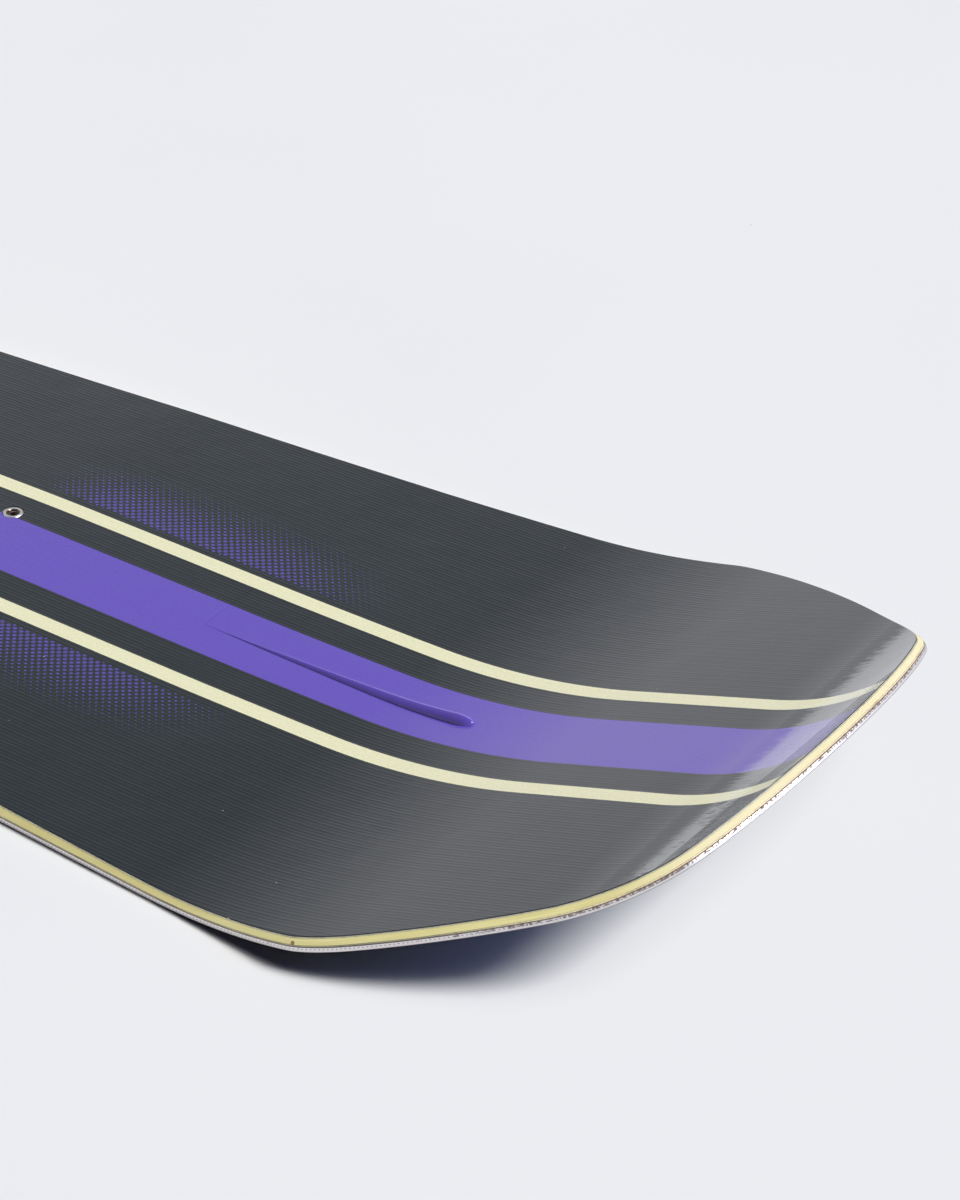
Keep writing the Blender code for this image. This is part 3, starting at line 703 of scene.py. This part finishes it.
def filmEdgeMaterial():
    # the film's dark cut edge, nicked white in places
    material, tree, shader = startMaterial("cutFilmEdge", IOR=1.5)
    spot, _ = objectCoordinates(tree)
    nicks = useGroup(tree, specks, {"Vector": spot, "Scale": 420.0, "Size": 0.18, "Share": 0.04})[0]
    wear = useGroup(tree, blotches, {"Vector": spot, "Scale": 180.0, "Low": 0.62, "High": 0.72})[0]
    colour = mixColour(tree, calc(tree, "MULTIPLY", wear, 0.5), tint(26, 28, 31), tint(96, 98, 104))
    colour = mixColour(tree, nicks, colour, tint(200, 202, 208))
    tree.links.new(colour, shader.inputs["Base Color"])
    tree.links.new(between(tree, wear, 0.0, 1.0, 0.35, 0.6), shader.inputs["Roughness"])
    tree.links.new(bump(tree, noise(tree, spot, 900.0), 0.00008), shader.inputs["Normal"])
    return material


deck = makeTopsheet((topsheetMaterial(), filmEdgeMaterial()))
mount(deck, "topsheet", "topsheet")
print("topsheet made:", len(deck.data.polygons), "faces")


# glass laminates above and below the core

glass = {
    "topInset": 0.0016,
    "topStart": 0.00032,
    "topDepth": 0.0007,
    "holeRadius": 0.0048,
    "rimInset": 0.0001,
    "stepInset": 0.0085,
    "innerInset": 0.0090,
    "floorBottom": 0.0013,
    "floorTop": 0.00175,
    "rimBottom": 0.0021,
    "rimTop": 0.00255,
    "pale": tint(206, 206, 186),
    "olive": tint(170, 164, 138),
    "cream": tint(240, 230, 190),
    "tipFrom": 0.640,
    "tipFull": 0.690,
}


def makeTopGlass(material):
    top = board["thinEnd"] - glass["topStart"]
    bottom = board["thinEnd"] - glass["topDepth"]
    bm = makePlate(board["deckInset"] - glass["topInset"], bottom, top)
    cutAcross(bm, bendMarks(), "x")
    bm = drill(bm, glass["holeRadius"], bottom, top)
    planMap(bm)
    bendMesh(bm)
    return makePiece("topGlass", bm, (material,))


def makeBottomGlass(material):
    # a tray: its floor lies on the base, and its rim steps up over the edge's tabs
    shift = board["deckInset"]
    rim = shift - glass["rimInset"]
    step = shift - glass["stepInset"]
    inner = shift - glass["innerInset"]
    profile = ((step, glass["floorBottom"]), (step, glass["rimBottom"]), (rim, glass["rimBottom"]),
               (rim, glass["rimTop"]), (inner, glass["rimTop"]), (inner, glass["floorTop"]))
    bm = makeRing(profile, 0.0, closed=False)
    bmesh.ops.holes_fill(bm, edges=[edge for edge in bm.edges if edge.is_boundary], sides=0)
    bmesh.ops.recalc_face_normals(bm, faces=bm.faces)
    cutAcross(bm, bendMarks(), "x", lambda place: abs(place.y) < 0.001)
    rimMap(bm)
    bendMesh(bm)
    return makePiece("bottomGlass", bm, (material,))


def glassMaterial(name, side, tip):
    # resin and glass yarns, seen end on as a thin line round the board
    material, tree, shader = startMaterial(name, IOR=1.52)
    spot, (x, _, _) = objectCoordinates(tree)
    ends = between(tree, calc(tree, "ABSOLUTE", x), glass["tipFrom"], glass["tipFull"])
    colour = mixColour(tree, ends, side, tip)
    yarns = noise(tree, spot, 1400.0, 2.0)
    colour = mixColour(tree, between(tree, yarns, 0.35, 0.75, 0.0, 0.35), colour, tint(60, 56, 44))
    grime = useGroup(tree, blotches, {"Vector": spot, "Scale": 90.0, "Low": 0.5, "High": 0.7})[0]
    colour = mixColour(tree, calc(tree, "MULTIPLY", grime, 0.35), colour, tint(74, 62, 48))
    tree.links.new(colour, shader.inputs["Base Color"])
    tree.links.new(between(tree, yarns, 0.2, 0.8, 0.3, 0.6), shader.inputs["Roughness"])
    tree.links.new(bump(tree, yarns, 0.00006), shader.inputs["Normal"])
    return material


topGlass = makeTopGlass(glassMaterial("topLaminate", glass["pale"], glass["pale"]))
mount(topGlass, "glass_laminate", "top_fiberglass")
bottomGlass = makeBottomGlass(glassMaterial("bottomLaminate", glass["olive"], glass["cream"]))
mount(bottomGlass, "glass_laminate", "bottom_fiberglass")
print("glass laminates made")


# sidewall: one bevelled ring round the core

sidewall = {
    "lowInset": 0.0002,
    "highInset": 0.0015,
    "innerInset": 0.0088,
    "bottom": 0.0026,
    "topDepth": 0.00075,
    "round": 0.00012,
    "colour": tint(238, 231, 168),
    "dull": tint(226, 217, 150),
    "cream": tint(250, 240, 200),
    "worn": tint(168, 156, 104),
    "grime": tint(120, 84, 52),
    "tip": (0.694, 0.722),
}


def makeSidewall(material):
    shift = board["deckInset"]
    top = board["thinEnd"] - sidewall["topDepth"]
    profile = ((shift - sidewall["lowInset"], sidewall["bottom"]), (shift - sidewall["highInset"], top),
               (shift - sidewall["innerInset"], top), (shift - sidewall["innerInset"], sidewall["bottom"]))
    bm = makeRing(profile, sidewall["round"])
    rimMap(bm)
    bendMesh(bm)
    return makePiece("sidewallRing", bm, (material,))


def sidewallMaterial():
    material, tree, shader = startMaterial("machinedSidewall", IOR=1.49)
    flat, _ = flatCoordinates(tree)
    spot, (x, _, _) = objectCoordinates(tree)
    marks = useGroup(tree, scratches, {"Vector": flat, "Across": 6000.0, "Along": 30.0})[0]
    cloud = noise(tree, scaled(tree, flat, 30.0, 400.0, 1.0), 1.0, 3.0)
    colour = mixColour(tree, between(tree, cloud, 0.35, 0.7), sidewall["colour"], sidewall["dull"])
    ends = between(tree, calc(tree, "ABSOLUTE", x), *sidewall["tip"])
    colour = mixColour(tree, ends, colour, sidewall["cream"])
    colour = mixColour(tree, between(tree, marks, 0.35, 0.7, 0.0, 0.25), colour, sidewall["worn"])
    dirt = useGroup(tree, specks, {"Vector": spot, "Scale": 60.0, "Size": 0.06, "Share": 0.2})[0]
    rust = useGroup(tree, blotches, {"Vector": spot, "Scale": 70.0, "Low": 0.70, "High": 0.76})[0]
    grime = calc(tree, "MAXIMUM", calc(tree, "MULTIPLY", dirt, 0.85), calc(tree, "MULTIPLY", rust, 0.5))
    colour = mixColour(tree, grime, colour, sidewall["grime"])
    tree.links.new(colour, shader.inputs["Base Color"])
    tree.links.new(between(tree, marks, 0.3, 0.7, 0.38, 0.55), shader.inputs["Roughness"])
    tree.links.new(bump(tree, marks, 0.00003), shader.inputs["Normal"])
    return material


wall = makeSidewall(sidewallMaterial())
mount(wall, "sidewall", "sidewall")
print("sidewall made")


# steel edges and the rubber strips over them, each in a left and a right half

steelEdge = {
    "width": 0.0020,
    "height": 0.0018,
    "round": 0.00016,
    "joint": 0.0004,
    "colour": tint(226, 222, 222),
    "worn": tint(178, 171, 174),
    # brown: the colour of the stains and dots, and of the painted shade along the steel's bottom
    "brown": tint(84, 68, 60),
    "stainFrom": (0.600, 0.700),  # brown patches get commoner between these places towards the tips
    "dotPitch": 0.0016,
    "rubberOuter": 0.0003,
    "rubberInner": 0.0083,
    "rubberBottom": 0.00185,
    "rubberTop": 0.00205,
}


def makeSteelEdge(name, side, material):
    outer = board["deckInset"]
    inner = outer - steelEdge["width"]
    height = steelEdge["height"]
    bm = makeRing(((outer, 0.0), (outer, height), (inner, height), (inner, 0.0)), steelEdge["round"],
                  side, steelEdge["joint"])
    rimMap(bm)
    bendMesh(bm)
    return makePiece(name, bm, (material,))


def makeRubber(name, side, material):
    outer = board["deckInset"] - steelEdge["rubberOuter"]
    inner = board["deckInset"] - steelEdge["rubberInner"]
    low, high = steelEdge["rubberBottom"], steelEdge["rubberTop"]
    bm = makeRing(((outer, low), (outer, high), (inner, high), (inner, low)), 0.0, side, steelEdge["joint"])
    rimMap(bm)
    bendMesh(bm)
    return makePiece(name, bm, (material,))


def steelMaterial():
    material, tree, shader = startMaterial("groundSteel", Metallic=1.0)
    flat, (along, up, _) = flatCoordinates(tree)
    spot, (x, _, _) = objectCoordinates(tree)
    marks = useGroup(tree, scratches, {"Vector": flat, "Across": 9000.0, "Along": 60.0})[0]
    ends = between(tree, calc(tree, "ABSOLUTE", x), *steelEdge["stainFrom"])
    limit = between(tree, ends, 0.0, 1.0, 0.64, 0.46)
    cloud = noise(tree, spot, 900.0, 4.0, 0.6)
    stain = between(tree, calc(tree, "SUBTRACT", cloud, limit), 0.0, 0.10)
    stain = calc(tree, "MULTIPLY", stain, between(tree, up, 0.0007, 0.0011))
    steps = calc(tree, "FRACT", calc(tree, "MULTIPLY", along, 1 / steelEdge["dotPitch"]))
    dot = calc(tree, "ABSOLUTE", calc(tree, "SUBTRACT", steps, 0.5))
    dot = between(tree, dot, 0.12, 0.20, 1.0, 0.0)
    line = calc(tree, "ABSOLUTE", calc(tree, "SUBTRACT", up, 0.00120))
    dot = calc(tree, "MULTIPLY", dot, between(tree, line, 0.00012, 0.00020, 1.0, 0.0))
    dark = calc(tree, "MAXIMUM", calc(tree, "MULTIPLY", stain, 0.85), calc(tree, "MULTIPLY", dot, 0.8))
    # painted shade: the steel's bottom quarter millimetre is darkened to brown, the shade where the edge meets
    # the table
    dark = calc(tree, "MAXIMUM", dark, between(tree, up, 0.00014, 0.00026, 0.9, 0.0))
    colour = mixColour(tree, between(tree, marks, 0.3, 0.7, 0.0, 0.3), steelEdge["colour"],
                       steelEdge["worn"])
    colour = mixColour(tree, dark, colour, steelEdge["brown"])
    tree.links.new(colour, shader.inputs["Base Color"])
    tree.links.new(calc(tree, "SUBTRACT", 1.0, calc(tree, "MULTIPLY", stain, 0.7)), shader.inputs["Metallic"])
    rough = between(tree, marks, 0.3, 0.7, 0.34, 0.48)
    tree.links.new(calc(tree, "ADD", rough, calc(tree, "MULTIPLY", stain, 0.25)), shader.inputs["Roughness"])
    tree.links.new(bump(tree, marks, 0.00002), shader.inputs["Normal"])
    return material


def rubberMaterial():
    material, tree, shader = startMaterial("dampingRubber", IOR=1.45)
    spot, (x, _, _) = objectCoordinates(tree)
    ends = between(tree, calc(tree, "ABSOLUTE", x), 0.650, 0.700)
    grain = noise(tree, spot, 1500.0, 3.0)
    colour = mixColour(tree, ends, tint(84, 76, 66), tint(168, 112, 66))
    colour = mixColour(tree, between(tree, grain, 0.4, 0.7, 0.0, 0.4), colour, tint(30, 28, 26))
    tree.links.new(colour, shader.inputs["Base Color"])
    tree.links.new(between(tree, grain, 0.2, 0.8, 0.6, 0.85), shader.inputs["Roughness"])
    tree.links.new(bump(tree, grain, 0.00005), shader.inputs["Normal"])
    return material


groundSteel = steelMaterial()
dampingRubber = rubberMaterial()
for handName, nodeHand, side in (("Left", "left", 1), ("Right", "right", -1)):
    edge = makeSteelEdge("steelEdge" + handName, side, groundSteel)
    mount(edge, "edge_steel", "steel_edge_" + nodeHand)
    strip = makeRubber("rubberStrip" + handName, side, dampingRubber)
    mount(strip, "edge_rubber", "rubber_strip_" + nodeHand)
print("steel edges and rubber made")


# base: the plain running face

base = {
    "inset": 0.0021,
    "top": 0.00125,
    "colour": tint(34, 34, 38),
    "worn": tint(52, 52, 58),
}


def makeBase(material):
    bm = makePlate(board["deckInset"] - base["inset"], 0.0, base["top"])
    cutAcross(bm, bendMarks(), "x")
    planMap(bm)
    bendMesh(bm)
    return makePiece("baseSheet", bm, (material,))


def baseMaterial():
    material, tree, shader = startMaterial("sinteredBase", IOR=1.5)
    flat, _ = flatCoordinates(tree)
    grind = useGroup(tree, scratches, {"Vector": flat, "Across": 1600.0, "Along": 12.0})[0]
    dry = useGroup(tree, blotches, {"Vector": scaled(tree, flat, 0.5, 2.0, 1.0), "Scale": 12.0,
                                    "Low": 0.42, "High": 0.7})[0]
    colour = mixColour(tree, calc(tree, "MULTIPLY", dry, 0.6), base["colour"], base["worn"])
    colour = mixColour(tree, between(tree, grind, 0.45, 0.75, 0.0, 0.3), colour, tint(70, 70, 76))
    tree.links.new(colour, shader.inputs["Base Color"])
    tree.links.new(between(tree, dry, 0.0, 1.0, 0.32, 0.52), shader.inputs["Roughness"])
    tree.links.new(bump(tree, grind, 0.00002), shader.inputs["Normal"])
    return material


baseSheet = makeBase(baseMaterial())
mount(baseSheet, "running_base", "base_sheet")
print("base made")


# inserts: turned steel barrels with a thread inside and a flange below

def makeInsert(name, x, y, materials):
    pack = insertPack
    height = thickness(x) - pack["recess"] - pack["bottom"]
    bm = bmesh.new()
    bore, deep = pack["bore"], pack["bore"] + pack["threadDepth"]
    pitch = pack["threadPitch"]
    turns = int((height - pack["floor"] - 2 * pack["chamfer"]) / pitch)
    start = height - pack["chamfer"] - turns * pitch
    profile = [(0.0, pack["floor"]), (bore, pack["floor"])]
    for turn in range(turns):
        low = start + turn * pitch
        profile += [(bore, low), (deep, low + 0.45 * pitch), (deep, low + 0.55 * pitch)]
    profile += [(bore, height - pack["chamfer"]), (bore + pack["chamfer"], height),
                (pack["barrel"] - 0.0002, height), (pack["barrel"], height - 0.0002),
                (pack["barrel"], pack["flangeHeight"]), (pack["flange"], pack["flangeHeight"]),
                (pack["flange"], 0.0), (0.0, 0.0)]
    points = [bm.verts.new((radius, 0.0, level)) for radius, level in profile]
    for a, b in zip(points, points[1:]):
        bm.edges.new((a, b))
    bmesh.ops.spin(bm, geom=bm.verts[:] + bm.edges[:], cent=(0, 0, 0), axis=(0, 0, 1), angle=2 * math.pi,
                   steps=40, use_merge=True)
    bmesh.ops.remove_doubles(bm, verts=bm.verts, dist=0.00001)
    bmesh.ops.recalc_face_normals(bm, faces=bm.faces)
    for face in bm.faces:
        centre = face.calc_center_median()
        if math.hypot(centre.x, centre.y) < deep and centre.z > 0.0001:
            face.material_index = 1
    bmesh.ops.translate(bm, verts=bm.verts, vec=(x, y, pack["bottom"]))
    return makePiece(name, bm, materials)


def insertMaterial(name, rusty):
    material, tree, shader = startMaterial(name, Metallic=1.0)
    spot, _ = objectCoordinates(tree)
    marks = noise(tree, spot, 2600.0, 4.0, 0.6)
    limit = 0.44 if rusty else 0.64
    stain = useGroup(tree, blotches, {"Vector": spot, "Scale": 700.0, "Low": limit, "High": limit + 0.12})[0]
    colour = mixColour(tree, stain, insertPack["dull" if rusty else "bright"], insertPack["rust"])
    tree.links.new(colour, shader.inputs["Base Color"])
    tree.links.new(calc(tree, "SUBTRACT", 1.0, calc(tree, "MULTIPLY", stain, 0.7)), shader.inputs["Metallic"])
    tree.links.new(between(tree, marks, 0.3, 0.7, 0.22, 0.42), shader.inputs["Roughness"])
    tree.links.new(bump(tree, marks, 0.00003), shader.inputs["Normal"])
    return material


insertFinish = (insertMaterial("insertSteel", False), insertMaterial("insertBore", True))
for pieceName, node, x, y in insertPlaces():
    mount(makeInsert(pieceName, x, y, insertFinish), "insert_steel", node)
print("inserts made")


# solids that stay inside: core, patches and rods

def grainMaterial(name, light, dark, scale, stretch, low, high):
    # long grain along the board
    material, tree, shader = startMaterial(name)
    spot, _ = objectCoordinates(tree)
    grain = noise(tree, scaled(tree, spot, stretch, 1.0, 1.0), scale, 5.0, 0.6)
    colour = mixColour(tree, between(tree, grain, 0.35, 0.65), light, dark)
    tree.links.new(colour, shader.inputs["Base Color"])
    tree.links.new(between(tree, grain, 0.2, 0.8, low, high), shader.inputs["Roughness"])
    tree.links.new(bump(tree, grain, 0.0001), shader.inputs["Normal"])
    return material


inside = {
    "core_strip": grainMaterial("poplarCore", tint(214, 188, 146), tint(178, 146, 102),
                                260.0, 0.06, 0.55, 0.75),
    "insert_patch": grainMaterial("glassPatch", tint(206, 208, 190), tint(168, 170, 150),
                                  900.0, 0.3, 0.4, 0.6),
    "stiffening_rod": grainMaterial("carbonRod", tint(40, 40, 43), tint(18, 18, 20),
                                    1500.0, 0.05, 0.25, 0.4),
}
for nodeName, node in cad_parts.items():
    for start, material in inside.items():
        if nodeName.startswith(start):
            node.data.materials.clear()
            node.data.materials.append(material)
print("inner parts finished")


# table, light and camera

studio = {
    "table": tint(238, 239, 243),
    "tableDrop": 0.0002,
    "lamps": (  # what it lights, azimuth from +X towards +Y, elevation and width in degrees, power, colour
        ("key", "all", 21.0, 45.0, 16.0, 3.05, (1.0, 0.98, 0.9)),
        ("lowLight", "all", 22.0, 32.0, 26.0, 0.62, (0.3, 0.42, 1.0)),
        ("tailLight", "board", 164.0, 32.0, 30.0, 1.45, (1.0, 0.97, 0.93)),
        ("frontLight", "rim", 248.0, 20.0, 40.0, 1.3, (1.0, 0.98, 0.95)),
        ("steelLight", "steel", 236.0, 10.0, 50.0, 0.8, (1.0, 0.98, 0.97)),
        ("tableLight", "table", 21.0, 50.0, 32.0, 1.12, (1.0, 0.985, 0.93)),
    ),
    "litNames": {  # the starts of names of the pieces lit by a lamp for the rim or the steel
        "rim": ("sidewallRing", "steelEdge", "rubberStrip", "topGlass", "bottomGlass"),
        "steel": ("steelEdge",),
    },
    "fill": (0.006, 0.008, 0.022, 1.0),
    "whiteUpTo": 0.22,  # sine of the elevation where the white surround starts to darken
    "darkFrom": 0.74,
    "surround": (0.95, 0.95, 1.0, 1.0),
    "above": (0.09, 0.12, 0.14, 1.0),
}

photoView = {
    "azimuth": -34.11,  # degrees
    "elevation": 31.59,
    "roll": 0.45,
    "place": (1.2032, -0.9272, 0.7523),
    "focal": 3595,  # pixels
    "frameHeight": 1200,
    "sensor": 36.0,
}


def makeTable():
    bm = bmesh.new()
    bmesh.ops.create_grid(bm, x_segments=12, y_segments=12, size=7.0)
    bmesh.ops.translate(bm, verts=bm.verts, vec=(0.0, 0.0, -studio["tableDrop"]))
    material, tree, shader = startMaterial("paleTable", Roughness=0.7)
    spot, _ = objectCoordinates(tree)
    cloud = noise(tree, spot, 3.0, 3.0)
    colour = mixColour(tree, between(tree, cloud, 0.3, 0.7), studio["table"], tint(235, 237, 241))
    dust = useGroup(tree, specks, {"Vector": spot, "Scale": 42.0, "Size": 0.016, "Share": 0.12})[0]
    colour = mixColour(tree, calc(tree, "MULTIPLY", dust, 0.6), colour, tint(130, 126, 124))
    tree.links.new(colour, shader.inputs["Base Color"])
    table = makePiece("table", bm, (material,))


def litPieces(choice):
    # the pieces that a lamp lights: some by name, the table, or the whole board
    pieces = [item for item in bpy.context.scene.objects if item.type == "MESH"]
    if choice in studio["litNames"]:
        return [item for item in pieces if item.name.startswith(studio["litNames"][choice])]
    return [item for item in pieces if (item.name == "table") == (choice == "table")]


def makeLight(name, choice, azimuth, elevation, spread, power, colour):
    turn, lift = math.radians(azimuth), math.radians(elevation)
    away = Vector((math.cos(turn) * math.cos(lift), math.sin(turn) * math.cos(lift), math.sin(lift)))
    lamp = bpy.data.lights.new(name, "SUN")
    lamp.angle = math.radians(spread)
    lamp.energy = power
    lamp.color = colour
    holder = bpy.data.objects.new(name, lamp)
    holder.location = away * 3.0
    holder.rotation_euler = away.to_track_quat("Z", "Y").to_euler()
    bpy.context.scene.collection.objects.link(holder)
    if choice != "all":
        lit = bpy.data.collections.new(name + "Pieces")
        for piece in litPieces(choice):
            lit.objects.link(piece)
        holder.light_linking.receiver_collection = lit
        holder.visible_glossy = choice == "steel"


def makeSurround():
    # mirrors and the camera see a white surround, darker high up; everything else gets a plain fill
    world = bpy.data.worlds.new("surround")
    bpy.context.scene.world = world
    world.use_nodes = True
    world.cycles.sampling_method = "NONE"  # so that each kind of ray sees its own share of the surround
    tree = world.node_tree
    background = tree.nodes["Background"]
    way = add(tree, "TexCoord").outputs["Generated"]
    up = add(tree, "SeparateXYZ", None, {0: way}).outputs[2]
    dark = between(tree, up, studio["whiteUpTo"], studio["darkFrom"])
    seen = mixColour(tree, dark, studio["surround"], studio["above"])
    path = add(tree, "LightPath")
    direct = calc(tree, "MAXIMUM", path.outputs["Is Camera Ray"], path.outputs["Is Glossy Ray"])
    direct = calc(tree, "MAXIMUM", direct, path.outputs["Is Transmission Ray"])
    tree.links.new(mixColour(tree, direct, studio["fill"], seen), background.inputs["Color"])


def makeCamera():
    # the photograph's view: direction, roll, place and field of view
    azimuth, elevation, roll = (math.radians(photoView[name]) for name in ("azimuth", "elevation", "roll"))
    ahead = Vector((math.sin(azimuth) * math.cos(elevation), math.cos(azimuth) * math.cos(elevation),
                    -math.sin(elevation)))
    right = Vector((math.cos(azimuth), -math.sin(azimuth), 0.0))
    up = right.cross(ahead)
    turnedRight = right * math.cos(roll) + up * math.sin(roll)
    turnedUp = up * math.cos(roll) - right * math.sin(roll)
    view = bpy.data.cameras.new("view")
    view.sensor_fit = "VERTICAL"
    view.sensor_height = photoView["sensor"]
    view.lens = photoView["sensor"] * photoView["focal"] / photoView["frameHeight"]
    holder = bpy.data.objects.new("view", view)
    turn = Matrix((turnedRight, turnedUp, -ahead)).transposed().to_4x4()
    holder.matrix_world = Matrix.Translation(photoView["place"]) @ turn
    bpy.context.scene.collection.objects.link(holder)
    bpy.context.scene.camera = holder


makeTable()
for lampValues in studio["lamps"]:
    makeLight(*lampValues)
makeSurround()
makeCamera()
bpy.context.scene.view_settings.view_transform = "Standard"
print("table, light and camera set")

bpy.context.view_layer.update()
